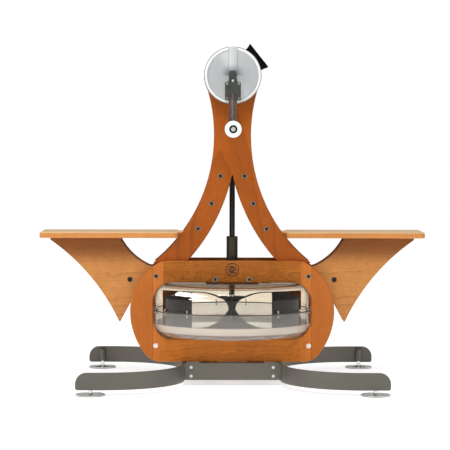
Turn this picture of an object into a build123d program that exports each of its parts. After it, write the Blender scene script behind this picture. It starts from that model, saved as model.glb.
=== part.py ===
from build123d import *
import os
from math import atan2, cos, degrees, hypot, pi, sin

# Water-resistance hand-crank trainer with two hang-on seats.
# Millimetres. +X to the right seat, +Y from the front to the rear, +Z up.
# The origin is on the floor, under the middle of the machine.

# ---- driving dimensions ----
PANEL_IN = 73.0            # half gap between the two tank-frame panels
PANEL_T = 22.0             # tank-frame panel thickness
NECK_IN = 53.0             # half gap between the two wishbone panels
PANEL_OUT = PANEL_IN + PANEL_T

FRAME_LOW, FRAME_TOP = 75.5, 420.0
FRAME_HALF_W = 347.0
SIDE_TOP_R, SIDE_LOW_R = 190.0, 232.0  # round sides of the tank frame, above and below mid height
SHOULDER_R = 70.0          # fillet between a side and the top or bottom edge
WINDOW_HALF_W = 268.0
WINDOW_LOW, WINDOW_TOP = 152.5, 345.5
WINDOW_R = 66.0
STILE_X = 234.0            # joint between a stile and the rails
EDGE_R = 4.0               # rounding of the wooden panels' faces

AXLE_Z = 1048.0            # crank axle height
HEAD_R = 96.5
ARC_X, ARC_Z = 622.0, 845.0            # centre of the wishbone leg's arcs
LEG_OUTER_R, LEG_INNER_R = 559.2, 635.0
WISHBONE_LOW = 355.0
RODS = ((41.0, 707.4), (71.0, 614.0), (116.5, 528.0))   # seat heights: top, middle, low
ROD_R = 7.0

TANK_R, TANK_LOW, TANK_TOP = 270.0, 161.0, 338.0
TANK_WALL, TANK_EDGE_R = 4.0, 42.0
FLANGE_R, FLANGE_T, GASKET_T = 277.0, 6.5, 3.0
FLANGE_Z = 249.0
PLUG_XY, PLUG_R = 120.0, 15.0

SHAFT_R, SHAFT_LOW = 9.5, 168.0
RUN = 0.05                 # radial clearance of a running fit
AXLE_R, AXLE_END = 10.0, 142.0
MODULE, PINION_TEETH, GEAR_TEETH, TOOTH_LEN = 2.5, 12, 36, 13.0
ADDENDUM, DEDENDUM = 2.0, 3.0
TOOTH_W, TOOTH_TAPER = 2.7, 0.30       # width on the pitch cone, half-width change per height

DRUM_R, DRUM_RIM, DRUM_FACE = 97.0, 10.0, 118.0
STRIP_W = 29.0
CLAMP_W, CLAMP_H, CLAMP_DROP = 53.0, 60.0, 54.0
ARM_W, ARM_T, CRANK_THROW = 27.0, 9.4, 181.0
LUG_Y, LUG_T = 132.0, 10.0
GRIP_END_R, GRIP_R, GRIP_FAR = 28.0, 19.0, 290.0
CONSOLE_ANGLE, CONSOLE_FACE = 38.5, 113.3

BAR_LOW, BAR_H, BAR_T = 18.5, 57.0, 8.0
LEG_END_X, LEG_WEB_X, LEG_Y, BEND_R = 514.0, 162.0, 415.0, 268.0
BAR_Y = 135.0
LAG_X = 80.0               # lag bolts that hold the wooden frame on the base
FOOT_X, FOOT_Y, FOOT_R = 465.0, 397.0, 49.0

SEAT_LOW, SEAT_T = 497.5, 19.5
SEAT_FAR, SEAT_NEAR, SEAT_HALF_W = 654.0, 184.0, 105.0
CHEEK_IN, CHEEK_T = 31.0, 20.0
SEAT_BOLT = (349.0, 353.5)

BIG = 2000.0
BAR_TOP = BAR_LOW + BAR_H
FRAME_MID = (FRAME_LOW + FRAME_TOP) / 2
SIDES = (-1, 1)


# ---- helpers ----
def slab(face, y_low, y_high):
    """The X-Z outline `face` as a solid between two Y planes."""
    return extrude(Plane.XZ.offset(-y_high) * face, amount=y_high - y_low, dir=(0, -1, 0))


def block(x, y, z):
    """A box from three (low, high) pairs."""
    size = [high - low for low, high in (x, y, z)]
    middle = [(low + high) / 2 for low, high in (x, y, z)]
    return Pos(*middle) * Box(*size)


def rect(x, z):
    """An X-Z rectangle from two (low, high) pairs."""
    return Pos(sum(x) / 2, sum(z) / 2) * Rectangle(x[1] - x[0], z[1] - z[0])


def rod_y(x, z, r, y_low, y_high):
    return slab(Pos(x, z) * Circle(r), y_low, y_high)


def rod_z(x, y, r, z_low, z_high):
    return Pos(x, y, (z_low + z_high) / 2) * Cylinder(r, z_high - z_low)


def turned(points_and_arcs):
    """Revolve an (r, z) outline about Z. A triple of points is an arc, a pair is a line."""
    edges = [ThreePointArc(*p) if len(p) == 3 else Line(*p) for p in points_and_arcs]
    return revolve(Plane.XZ * make_face(Wire(edges)), Axis.Z, 360)


def chain(*points):
    """Closed run of straight (r, z) edges."""
    return [(a, b) for a, b in zip(points, points[1:] + points[:1])]


def front_rear(part):
    """The rear piece as made, and its mirror image at the front."""
    return [part, mirror(part, Plane.XZ)]


def left_right(part):
    """The right piece as made, and its mirror image at the left."""
    return [part, mirror(part, Plane.YZ)]


def four_ways(part):
    return [m for p in front_rear(part) for m in left_right(p)]


def save(name, *parts):
    """Write one node. Its separate solids stay separate."""
    solids = [s for p in parts for s in p.solids()]
    export_step(solids[0] if len(solids) == 1 else Compound(children=solids), f"parts/{name}.step")


# ---- wooden tank frame ----
def frame_outline(inset=0.0):
    wide, high = FRAME_HALF_W - inset, (FRAME_TOP - FRAME_LOW) / 2 - inset

    def half(r, z_span):
        """One half of the outline, its round sides upright where the halves meet."""
        sides = Rectangle(2 * (wide - r), 2 * r)
        for s in SIDES:
            sides += Pos(s * (wide - r), 0) * Circle(r)
        return sides & rect((-wide, wide), z_span)

    shape = half(SIDE_TOP_R - inset, (0, high)) + half(SIDE_LOW_R - inset, (-high, 0))
    corners = [v for v in shape.vertices() if abs(abs(v.Y) - high) < 0.01]
    return Pos(0, FRAME_MID) * fillet(corners, SHOULDER_R)


def frame_panel():
    """One whole rear panel, before it is parted into stiles and rails."""
    window = Pos(0, (WINDOW_LOW + WINDOW_TOP) / 2) * RectangleRounded(
        2 * WINDOW_HALF_W, WINDOW_TOP - WINDOW_LOW, WINDOW_R)
    panel = slab(frame_outline() - window, PANEL_IN, PANEL_OUT)
    outside = panel.faces().sort_by(Axis.Y)[-1]
    return fillet(outside.edges(), EDGE_R)


def make_frame():
    panel = frame_panel()
    depth = (PANEL_IN - 1, PANEL_OUT + 1)
    for s in SIDES:
        panel -= rod_z(s * LAG_X, PANEL_IN + PANEL_T / 2, 3.2, FRAME_LOW - 1, FRAME_LOW + 32)
    stile = panel & block((STILE_X, BIG), depth, (0, BIG))
    rail_zone = (-STILE_X, STILE_X)
    save("frame_right_stiles", *front_rear(stile))
    save("frame_left_stiles", *front_rear(mirror(stile, Plane.YZ)))
    save("frame_top_rails", *front_rear(panel & block(rail_zone, depth, (FRAME_MID, BIG))))
    save("frame_bottom_rails", *front_rear(panel & block(rail_zone, depth, (0, FRAME_MID))))


# ---- wishbone ----
def wishbone_outline():
    leg = Pos(ARC_X, ARC_Z) * (Circle(LEG_INNER_R) - Circle(LEG_OUTER_R))
    leg &= rect((0, 400), (WISHBONE_LOW, AXLE_Z - 8))
    shape = leg + mirror(leg, Plane.YZ) + Pos(0, AXLE_Z) * Circle(HEAD_R)
    shape &= frame_outline(inset=4.0) + rect((-400, 400), (FRAME_TOP - 8, AXLE_Z + HEAD_R + 1))
    crotch_z = ARC_Z - (LEG_INNER_R ** 2 - ARC_X ** 2) ** 0.5
    crotch = shape.vertices().sort_by_distance((0, crotch_z, 0))[:1]
    shape = fillet(crotch, 2.0)
    shoulders = [v for v in shape.vertices() if 960 < v.Y < 1010 and abs(v.X) > 70]
    return fillet(shoulders, 110.0)


def make_wishbone():
    panel = slab(wishbone_outline() - Pos(0, AXLE_Z) * Circle(14.0), NECK_IN, PANEL_IN)
    outside = panel.faces().sort_by(Axis.Y)[-1]
    panel = fillet(outside.outer_wire().edges(), 2.5)
    save("wishbone_rear", panel)
    save("wishbone_front", mirror(panel, Plane.XZ))


# ---- fasteners and cross rods of the wooden body ----
FRAME_SCREWS = ((259.0, 367.5), (58.0, 357.0))
CAP_AT = (260.0, 130.5)


def make_body_fasteners():
    rods = [rod_y(s * x, z, ROD_R, -NECK_IN, NECK_IN) for x, z in RODS for s in SIDES]
    rods += [rod_y(s * FRAME_SCREWS[0][0], FRAME_SCREWS[0][1], 12, -NECK_IN, NECK_IN) for s in SIDES]
    save("cross_rods", *rods)

    places = [(x, z, PANEL_IN) for x, z in RODS] + [(x, z, PANEL_OUT) for x, z in FRAME_SCREWS]
    heads, cups = [], []
    for x, z, y in places:
        head = rod_y(x, z, 5.6, y, y + 2.6) - slab(Pos(x, z) * RegularPolygon(2.6, 6), y + 1, y + 3)
        cup = rod_y(x, z, 8.5, y, y + 1.6)
        cup = chamfer(cup.edges().sort_by(Axis.Y)[-1:], 1.0) - rod_y(x, z, 5.9, y - 1, y + 2)
        heads += four_ways(head)
        cups += four_ways(cup)
    save("frame_screws", *heads)
    save("screw_cups", *cups)

    cap = rod_y(*CAP_AT, 8.5, PANEL_OUT, PANEL_OUT + 3.5)
    save("bolt_caps", *four_ways(fillet(cap.edges().sort_by(Axis.Y)[-1:], 2.2)))


# ---- water tank ----
def shell_profile(floor_z, flange_z, up, hole_r):
    """Half section of a tank shell. `up` is +1 from the floor towards the flange."""
    straight = TANK_R - TANK_EDGE_R
    inner_r = TANK_EDGE_R - TANK_WALL
    slant = 0.5 ** 0.5
    centre_z = floor_z + up * TANK_EDGE_R
    flange_far = flange_z - up * FLANGE_T

    def bend(r):
        return (straight + r * slant, centre_z - up * r * slant)

    inside = TANK_R - TANK_WALL
    return [
        ((hole_r, floor_z), (straight, floor_z)),
        ((straight, floor_z), bend(TANK_EDGE_R), (TANK_R, centre_z)),
        ((TANK_R, centre_z), (TANK_R, flange_far)),
        ((TANK_R, flange_far), (FLANGE_R, flange_far)),
        ((FLANGE_R, flange_far), (FLANGE_R, flange_z)),
        ((FLANGE_R, flange_z), (inside, flange_z)),
        ((inside, flange_z), (inside, centre_z)),
        ((inside, centre_z), bend(inner_r), (straight, floor_z + up * TANK_WALL)),
        ((straight, floor_z + up * TANK_WALL), (hole_r, floor_z + up * TANK_WALL)),
        ((hole_r, floor_z + up * TANK_WALL), (hole_r, floor_z)),
    ]


def make_tank():
    half = GASKET_T / 2
    bearing_r = 22.0
    lower = turned(shell_profile(TANK_LOW, FLANGE_Z - half, 1, 0.0))
    upper = turned(shell_profile(TANK_TOP, FLANGE_Z + half, -1, bearing_r))
    upper -= rod_z(PLUG_XY, PLUG_XY, PLUG_R + 0.5, TANK_TOP - 10, TANK_TOP + 1)
    gasket = rod_z(0, 0, FLANGE_R - 1, FLANGE_Z - half, FLANGE_Z + half)
    gasket -= rod_z(0, 0, TANK_R - TANK_WALL + 1, 0, BIG)

    screw_r, count = (TANK_R + FLANGE_R) / 2, 16
    top, low = FLANGE_Z + half + FLANGE_T, FLANGE_Z - half - FLANGE_T
    screws = []
    for i in range(count):
        angle = 2 * pi * (i + 0.5) / count
        x, y = screw_r * cos(angle), screw_r * sin(angle)
        hole = rod_z(x, y, 1.6, low - 1, top + 1)
        lower, upper, gasket = lower - hole, upper - hole, gasket - hole
        nut = Pos(x, y, low - 2.4) * extrude(RegularPolygon(3.2, 6), 2.4)
        screws.append(nut + rod_z(x, y, 1.5, low - 2, top) + rod_z(x, y, 3.2, top, top + 2.6))
    save("tank_lower_shell", lower)
    save("tank_upper_shell", upper)
    save("tank_gasket", gasket)
    save("tank_flange_screws", *screws)

    top_bearing = rod_z(0, 0, bearing_r, TANK_TOP - TANK_WALL, TANK_TOP + 12)
    bottom_bush = rod_z(0, 0, 20.0, TANK_LOW + TANK_WALL, TANK_LOW + 13)
    bore = rod_z(0, 0, SHAFT_R + RUN, 0, BIG)
    save("tank_bearings", top_bearing - bore, bottom_bush - bore)

    plug = rod_z(0, 0, PLUG_R, -8, 0) + fillet(rod_z(0, 0, 21, 0, 9).edges().sort_by(Axis.Z)[-1:], 2)
    for i in range(12):
        angle = 2 * pi * i / 12
        plug -= rod_z(21.6 * cos(angle), 21.6 * sin(angle), 2.2, 0, 12)
    save("fill_plug", Pos(PLUG_XY, PLUG_XY, TANK_TOP) * plug)


def make_tank_supports():
    plate_t, tab_half = 4.0, 4.5
    hang_x = FRAME_SCREWS[1][0]
    beam = block((-90, 90), (-PANEL_IN, PANEL_IN), (TANK_TOP, TANK_TOP + plate_t))
    ends = block((-90, 90), (PANEL_IN - plate_t, PANEL_IN), (TANK_TOP, TANK_TOP + 30))
    tab = block((hang_x - tab_half, hang_x + tab_half), (PANEL_IN, PANEL_IN + 5), (TANK_TOP, WINDOW_TOP))
    for piece in front_rear(ends) + four_ways(tab):
        beam += piece
    save("tank_top_beam", beam - rod_z(0, 0, 24.0, 0, BIG))

    deck_top, deck_t, pad_t = TANK_LOW - 9, 9.0, 9.0
    deck_low = deck_top - deck_t
    deck = block((-284, 284), (-PANEL_IN, PANEL_IN), (deck_low, deck_top))
    beams = block((243, 277), (-PANEL_IN, PANEL_IN), (deck_low - 34, deck_low))
    save("tank_cradle", deck, *left_right(beams))
    save("tank_pads", *four_ways(rod_z(140, 45, 20, deck_top, deck_top + pad_t)))


# ---- steel base ----
def leg_solid():
    """The right-hand U of bent flat bar, open towards +X."""
    reach = 2 * BIG

    def plan(inset):
        near = LEG_WEB_X + inset
        return Pos(near + reach / 2, 0) * RectangleRounded(reach, 2 * (LEG_Y - inset), BEND_R - inset)

    strip = (plan(0) - plan(BAR_T)) & Pos(LEG_END_X / 2, 0) * Rectangle(LEG_END_X, BIG)
    leg = Pos(0, 0, BAR_LOW) * extrude(strip, BAR_H)
    ends = [e for e in leg.edges().filter_by(Axis.Y) if abs(e.center().X - LEG_END_X) < 0.1]
    leg = fillet([e for e in ends if e.center().Z > BAR_TOP - 1], 36.0)
    ends = [e for e in leg.edges().filter_by(Axis.Y) if abs(e.center().X - LEG_END_X) < 0.1]
    leg = fillet([e for e in ends if e.center().Z < BAR_LOW + 1], 8.0)
    for s in SIDES:
        leg += rod_z(FOOT_X, s * FOOT_Y, 11.0, BAR_LOW + 6, BAR_TOP - 9)
        leg -= rod_z(FOOT_X, s * FOOT_Y, 5.0 + RUN, 0, BAR_TOP - 12)
    return leg


def make_base():
    bolt_x, web_bolt_y, bolt_z = 139.0, 98.0, (32.0, 62.0)
    bracket_t, bolt_r = 6.0, 3.0
    inner_y = BAR_Y - BAR_T
    leg = leg_solid()
    bar = block((-LEG_WEB_X, LEG_WEB_X), (inner_y, BAR_Y), (BAR_LOW, BAR_TOP))
    tall = (BAR_LOW + 3.5, BAR_TOP - 3.5)
    bracket = block((112, LEG_WEB_X), (inner_y - bracket_t, inner_y), tall)
    bracket += block((LEG_WEB_X - bracket_t, LEG_WEB_X), (72, inner_y), tall)

    bolts = []
    for z in bolt_z:
        hole = rod_y(bolt_x, z, bolt_r + 0.2, inner_y - 10, BAR_Y + 1)
        bracket -= hole
        for cut in left_right(hole):
            bar -= cut
        nut = slab(Pos(bolt_x, z) * RegularPolygon(5.8, 6), inner_y - bracket_t - 5, inner_y - bracket_t)
        bolts.append(nut + rod_y(bolt_x, z, bolt_r, inner_y - bracket_t, BAR_Y)
                     + rod_y(bolt_x, z, 5.2, BAR_Y, BAR_Y + 3))
        across = Pos(LEG_WEB_X, web_bolt_y, z) * Rot(0, 90, 0)
        hole = across * Cylinder(bolt_r + 0.2, 40)
        bracket -= hole
        for cut in front_rear(hole):
            leg -= cut
        low, high = -bracket_t, BAR_T
        bolts.append(across * Pos(0, 0, low - 2.5) * Cylinder(5.8, 5)
                     + across * Pos(0, 0, (low + high) / 2) * Cylinder(bolt_r, high - low)
                     + across * Pos(0, 0, high + 1.5) * Cylinder(5.2, 3))
    save("base_leg_right", leg)
    save("base_leg_left", mirror(leg, Plane.YZ))
    save("base_bars", *front_rear(bar))
    save("base_brackets", *four_ways(bracket))

    rest_y, plate_t = PANEL_IN + PANEL_T / 2, 6.0
    plate = block((50, 108), (-inner_y, inner_y), (BAR_TOP - plate_t, BAR_TOP))
    for s in SIDES:
        plate -= rod_z(LAG_X, s * rest_y, bolt_r + 0.2, 0, BIG)
    save("base_cross_plates", *left_right(plate))
    lag = rod_z(LAG_X, rest_y, bolt_r, BAR_TOP - plate_t, BAR_TOP + 28)
    lag += rod_z(LAG_X, rest_y, 6.0, BAR_TOP - plate_t - 4, BAR_TOP - plate_t)
    save("base_bolts", *[b for bolt in bolts + [lag] for b in four_ways(bolt)])


def foot():
    pad = turned(chain((0, 0), (FOOT_R - 1, 0), (FOOT_R, 1), (FOOT_R, 3.5), (FOOT_R - 2.5, 5.5),
                       (14, 8.5), (0, 8.5)))
    nut = Pos(0, 0, 8.5) * extrude(RegularPolygon(8.6, 6), 6.0)
    return [pad, nut + rod_z(0, 0, 5.0, 8.5, 58.0)]


def make_feet():
    for s, side in ((-1, "left"), (1, "right")):
        for t, end in ((-1, "front"), (1, "rear")):
            save(f"foot_{end}_{side}", *[Pos(s * FOOT_X, t * FOOT_Y, 0) * piece for piece in foot()])


# ---- drive: bevel gears, shaft and paddle ----
def bevel_tooth(cone_angle, axis_dir, side_dir):
    """A straight tooth that shrinks towards the point where the two gear axes cross."""
    slant = MODULE * hypot(PINION_TEETH, GEAR_TEETH) / 2
    along = axis_dir * cos(cone_angle) + side_dir * sin(cone_angle)
    across = side_dir.cross(axis_dir)
    sections = []
    for distance in (slant, slant - TOOTH_LEN):
        k = distance / slant
        low, high = TOOTH_W / 2 + DEDENDUM * TOOTH_TAPER, TOOTH_W / 2 - ADDENDUM * TOOTH_TAPER
        outline = Polyline((-low, -DEDENDUM), (low, -DEDENDUM), (high, ADDENDUM), (-high, ADDENDUM),
                           close=True)
        where = Plane(origin=along * distance, x_dir=across, z_dir=along)
        sections.append(where * scale(make_face(outline), k))
    return loft(sections, ruled=True)


def bevel_wheel(teeth, mate, turn):
    """Gear about Z with its cone point at the origin and its teeth on the -Z side."""
    pitch_r, depth = MODULE * teeth / 2, MODULE * mate / 2
    angle = atan2(pitch_r, depth)
    small = 1 - TOOTH_LEN / hypot(pitch_r, depth)
    sink = DEDENDUM - 0.4
    root_r, root_z = pitch_r - sink * cos(angle), -depth - sink * sin(angle)
    outline = chain((0, root_z * small), (root_r * small, root_z * small), (root_r, root_z),
                    (root_r - 1.5, root_z - 6), (0, root_z - 6))
    wheel = turned(outline)
    tooth = bevel_tooth(angle, Vector(0, 0, -1), Vector(1, 0, 0))
    ring = [Rot(0, 0, degrees(2 * pi * i / teeth) + turn) * tooth for i in range(teeth)]
    return wheel + ring


def make_rotor():
    shaft_top = AXLE_Z - MODULE * GEAR_TEETH / 2 - 2
    save("drive_shaft", rod_z(0, 0, SHAFT_R, SHAFT_LOW, shaft_top))

    pinion = bevel_wheel(PINION_TEETH, GEAR_TEETH, 0.0)
    hub_top = -MODULE * GEAR_TEETH / 2 - 6
    pinion += rod_z(0, 0, 13.0, hub_top - 16, hub_top)
    pinion -= rod_z(0, 0, SHAFT_R, -100, shaft_top - AXLE_Z)
    save("bevel_pinion", Pos(0, 0, AXLE_Z) * pinion)

    sleeve_r = 19.5
    sleeve = rod_z(0, 0, sleeve_r, 352, 499)
    rims = [e for e in sleeve.edges() if e.geom_type == GeomType.CIRCLE]
    sleeve = chamfer(rims, 1.5) - rod_z(0, 0, SHAFT_R, 0, BIG)
    for z in (372, 479):
        sleeve -= Pos(0, 2.0 - sleeve_r, z) * Rot(90, 0, 0) * Cylinder(3.0, 6.0)
    save("shaft_coupling", sleeve)

    waist_r, bell_r = 12.0, 50.0
    low, top = 175.5, 293.5
    hub = turned([
        ((SHAFT_R, low), (bell_r, low)),
        ((bell_r, low), (bell_r, 204.5)),
        ((bell_r, 204.5), (26.5, 226), (waist_r, 246)),
        ((waist_r, 246), (waist_r, 250)),
        ((waist_r, 250), (20, 270), (bell_r, 289.5)),
        ((bell_r, 289.5), (bell_r, top)),
        ((bell_r, top), (SHAFT_R, top)),
        ((SHAFT_R, top), (SHAFT_R, low)),
    ])
    save("paddle_hub", hub)
    blade = paddle_blade() - hub
    save("paddle_blades", *[Rot(0, 0, 90 * i) * blade for i in range(4)])


def paddle_blade():
    """One flat blade along +X: a full outer leaf held by a thin top arm and a swept lower web."""
    leaf_in, leaf_out, low, top = 137.5, 238.0, 175.5, 314.0
    leaf = rect((leaf_in, leaf_out), (low, top))
    leaf = fillet([v for v in leaf.vertices() if v.X > leaf_out - 1], 6.0)
    join = leaf_in + 2
    web = make_face(Wire([
        ThreePointArc((46, 204), (84, 187), (join, 180)),
        Line((join, 180), (join, low + 1)),
        Line((join, low + 1), (46, low + 1)),
        Line((46, low + 1), (46, 204)),
    ]))
    arm = make_face(Wire([
        ThreePointArc((42, 292.5), (75, 307.5), (join, 313.5)),
        Line((join, 313.5), (join, 308.5)),
        ThreePointArc((join, 308.5), (80, 303), (42, 285)),
        Line((42, 285), (42, 292.5)),
    ]))
    return slab(leaf, -2.0, 2.0) + slab(web, -2.0, 2.0) + slab(arm, -2.0, 2.0)


# ---- gearbox and drum ----
def make_gearbox():
    shell_r, wall, plate_t, race_r, shaft_race_r = 90.0, 6.0, 10.0, 21.0, 22.0
    shell = rod_y(0, AXLE_Z, shell_r, -NECK_IN, NECK_IN)
    shell -= rod_y(0, AXLE_Z, shell_r - wall, -NECK_IN, NECK_IN)
    shell -= rod_z(0, 0, shaft_race_r, 900, AXLE_Z)
    plate = rod_y(0, AXLE_Z, shell_r - wall, NECK_IN - plate_t, NECK_IN)
    plate -= rod_y(0, AXLE_Z, race_r, 0, NECK_IN)
    save("gearbox_casing", shell, *front_rear(plate))

    race = rod_y(0, AXLE_Z, race_r, NECK_IN - plate_t, NECK_IN)
    race -= rod_y(0, AXLE_Z, AXLE_R + RUN, 0, BIG)
    shaft_race = rod_z(0, 0, shaft_race_r, 950, 966) - rod_z(0, 0, SHAFT_R + RUN, 0, BIG)
    save("gearbox_bearings", *front_rear(race), shaft_race)


def make_drum():
    disc_back, disc_t, lip = 110.0, 4.0, 2.0
    inner_r = DRUM_R - DRUM_RIM
    ring = rod_y(0, AXLE_Z, DRUM_R, PANEL_IN, DRUM_FACE)
    ring = fillet(ring.edges().sort_by(Axis.Y)[-1:], 4.0)
    ring -= rod_y(0, AXLE_Z, inner_r, PANEL_IN - 1, DRUM_FACE + 1)
    strip_zone = block((-STRIP_W / 2, STRIP_W / 2), (disc_back + disc_t, BIG), (AXLE_Z, BIG))
    save("drum_rings", *front_rear(ring - strip_zone))

    disc = rod_y(0, AXLE_Z, inner_r, disc_back, disc_back + disc_t)
    disc -= rod_y(0, AXLE_Z, 14.0, 0, BIG)
    strip = block((-STRIP_W / 2, STRIP_W / 2), (disc_back + disc_t, DRUM_FACE + lip),
                  (AXLE_Z + 16, AXLE_Z + DRUM_R))
    strip &= rod_y(0, AXLE_Z, DRUM_R, 0, BIG)
    save("drum_discs", *front_rear(disc), *front_rear(strip))


# ---- crank ----
def make_crank():
    save("crank_axle", rod_y(0, AXLE_Z, AXLE_R, -AXLE_END, AXLE_END))

    gear = bevel_wheel(GEAR_TEETH, PINION_TEETH, 180.0 / GEAR_TEETH)
    gear += rod_z(0, 0, 20.0, -38, -22)
    gear -= rod_z(0, 0, AXLE_R, -100, 0)
    save("bevel_gear", Pos(0, 0, AXLE_Z) * Rot(90, 0, 0) * gear)

    clamp_z = AXLE_Z - CLAMP_DROP
    clamp_span = (clamp_z - CLAMP_H / 2, clamp_z + CLAMP_H / 2)
    half_w, arm_half = CLAMP_W / 2, ARM_W / 2
    arm_low_y = LUG_Y + LUG_T
    rail_y = arm_low_y + ARM_T + 0.6
    bolt_x, bolt_dz, bolt_r = 20.3, 23.7, 2.5
    bolt_places = [(s * bolt_x, clamp_z + t * bolt_dz) for s in SIDES for t in SIDES]

    plan = Pos(0, AXLE_Z) * Circle(13) + rect((-13, 13), (clamp_z, AXLE_Z)) + rect((-half_w, half_w), clamp_span)
    lug = slab(plan, LUG_Y, arm_low_y)
    lug += slab(rect((arm_half + 0.3, half_w), clamp_span), arm_low_y, rail_y)
    lug += slab(rect((-half_w, -arm_half - 0.3), clamp_span), arm_low_y, rail_y)
    lug -= rod_y(0, AXLE_Z, AXLE_R, 0, BIG)
    pin_z, pin_r = AXLE_Z - 19, 4.5
    lug -= rod_y(0, pin_z, pin_r, arm_low_y - 5, arm_low_y)

    cover = slab(fillet(rect((-half_w, half_w), clamp_span).vertices(), 3.0), rail_y, rail_y + 8)
    cover -= slab(rect((-9, 9), (clamp_span[0], clamp_span[0] + 23)), rail_y - 1, rail_y + 9)
    bolts = [rod_y(0, pin_z, pin_r, arm_low_y - 5, arm_low_y - 0.4)]
    for x, z in bolt_places:
        hole = rod_y(x, z, bolt_r + 0.1, 0, BIG)
        lug, cover = lug - hole, cover - hole
        head = rod_y(x, z, 4.4, rail_y + 8, rail_y + 11.5)
        head -= slab(Pos(x, z) * RegularPolygon(2.2, 6), rail_y + 9.5, rail_y + 12)
        bolts.append(head + rod_y(x, z, bolt_r, LUG_Y, rail_y + 8))
    save("crank_clamps", *front_rear(lug), *front_rear(cover))
    save("clamp_bolts", *[b for bolt in bolts for b in front_rear(bolt)])

    grip_z = AXLE_Z - CRANK_THROW
    arm_y = (arm_low_y + 0.3, arm_low_y + 0.3 + ARM_T)
    arm = slab(rect((-arm_half, arm_half), (grip_z, clamp_z + 26)) + Pos(0, grip_z) * Circle(arm_half), *arm_y)
    arm -= rod_y(0, grip_z, 5.0, 0, BIG)
    spindle = rod_y(0, grip_z, 5.0, arm_y[0], GRIP_FAR - 4) + rod_y(0, grip_z, 7.5, GRIP_FAR - 4, GRIP_FAR + 1)

    at = Pos(0, 0, grip_z) * Rot(-90, 0, 0)
    near, far = arm_y[1] + 2.0, GRIP_FAR
    bore_r, recess_r = 5.0 + RUN, 12.2
    grip = at * turned([
        ((bore_r, near), (GRIP_R - 3, near)),
        ((GRIP_R - 3, near), (GRIP_R, near + 5)),
        ((GRIP_R, near + 5), (GRIP_R + 1, far - 40)),
        ((GRIP_R + 1, far - 40), (GRIP_R + 2.8, far - 24), (GRIP_END_R, far - 11)),
        ((GRIP_END_R, far - 11), (GRIP_END_R, far - 4)),
        ((GRIP_END_R, far - 4), (GRIP_END_R - 1.2, far - 1.2), (GRIP_END_R - 4, far)),
        ((GRIP_END_R - 4, far), (recess_r, far)),
        ((recess_r, far), (recess_r, far - 4)),
        ((recess_r, far - 4), (bore_r, far - 4)),
        ((bore_r, far - 4), (bore_r, near)),
    ])
    for end, flip in (("rear", False), ("front", True)):
        pieces = [mirror(p, Plane.XZ) if flip else p for p in (arm, spindle, grip)]
        save(f"crank_arm_{end}", *pieces[:2])
        save(f"handle_grip_{end}", pieces[2])


# ---- console ----
def make_console():
    at = Pos(0, 0, AXLE_Z) * Rot(0, -CONSOLE_ANGLE, 0)
    seat_r, bezel_t, half_y = HEAD_R + 1, 3.0, 75.0
    under = slab(Circle(seat_r), -100, 100)
    low, top = -51.4, 47.6
    sides = Polyline((60, -36), (CONSOLE_FACE - bezel_t, low + 1.5), (CONSOLE_FACE - bezel_t, top - 1.5),
                     (60, 34.5), close=True)
    housing = slab(make_face(sides), -half_y, half_y) - under
    bezel = block((CONSOLE_FACE - bezel_t, CONSOLE_FACE), (-half_y - 2, half_y + 2), (low, top))
    bezel = fillet(bezel.edges().filter_by(Axis.X), 6.0)
    glass = block((CONSOLE_FACE - 2, CONSOLE_FACE), (-62, 62), (-14, 43))
    body = housing + bezel - glass
    button_z, button_r, pocket = -33.0, 5.0, CONSOLE_FACE - 7
    lay = Rot(0, 90, 0)
    for y, name in ((-36, "left"), (0, "middle"), (36, "right")):
        body -= Pos(CONSOLE_FACE - 3.5, y, button_z) * lay * Cylinder(button_r + 0.2, 7)
        button = Pos(pocket + 5.2, y, button_z) * lay * Cylinder(button_r, 7.2)
        button = fillet(button.edges().sort_by(Axis.X)[-1:], 0.8)
        save(f"console_button_{name}", at * button)
    save("console_housing", at * body)
    save("console_screen", at * glass)
    bracket = block((60, 120), (-20, 20), (-15, 15)) & slab(Circle(seat_r) - Circle(90), -20, 20)
    save("console_bracket", at * bracket)


# ---- seats ----
def cheek_outline():
    """Sail-shaped side plate under the right-hand seat board, drawn in X-Z."""
    far, far_low, near = (621, SEAT_LOW), (621, 489), (384, SEAT_LOW)
    waist, corner, tip = (284, 400), (264, 395), (384, 205)
    outline = Wire([
        Line(far, near),
        ThreePointArc(near, (343.3, 440.7), waist),
        Line(waist, corner),
        ThreePointArc(corner, (329, 303), tip),
        ThreePointArc(tip, (491.4, 372.5), far_low),
        Line(far_low, far),
    ])
    face = make_face(outline)
    for (x, z), r in ((corner, 6.0), (far_low, 6.0), (tip, 2.5)):
        face = fillet(face.vertices().sort_by_distance((x, z, 0))[:1], r)
    return face


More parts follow.
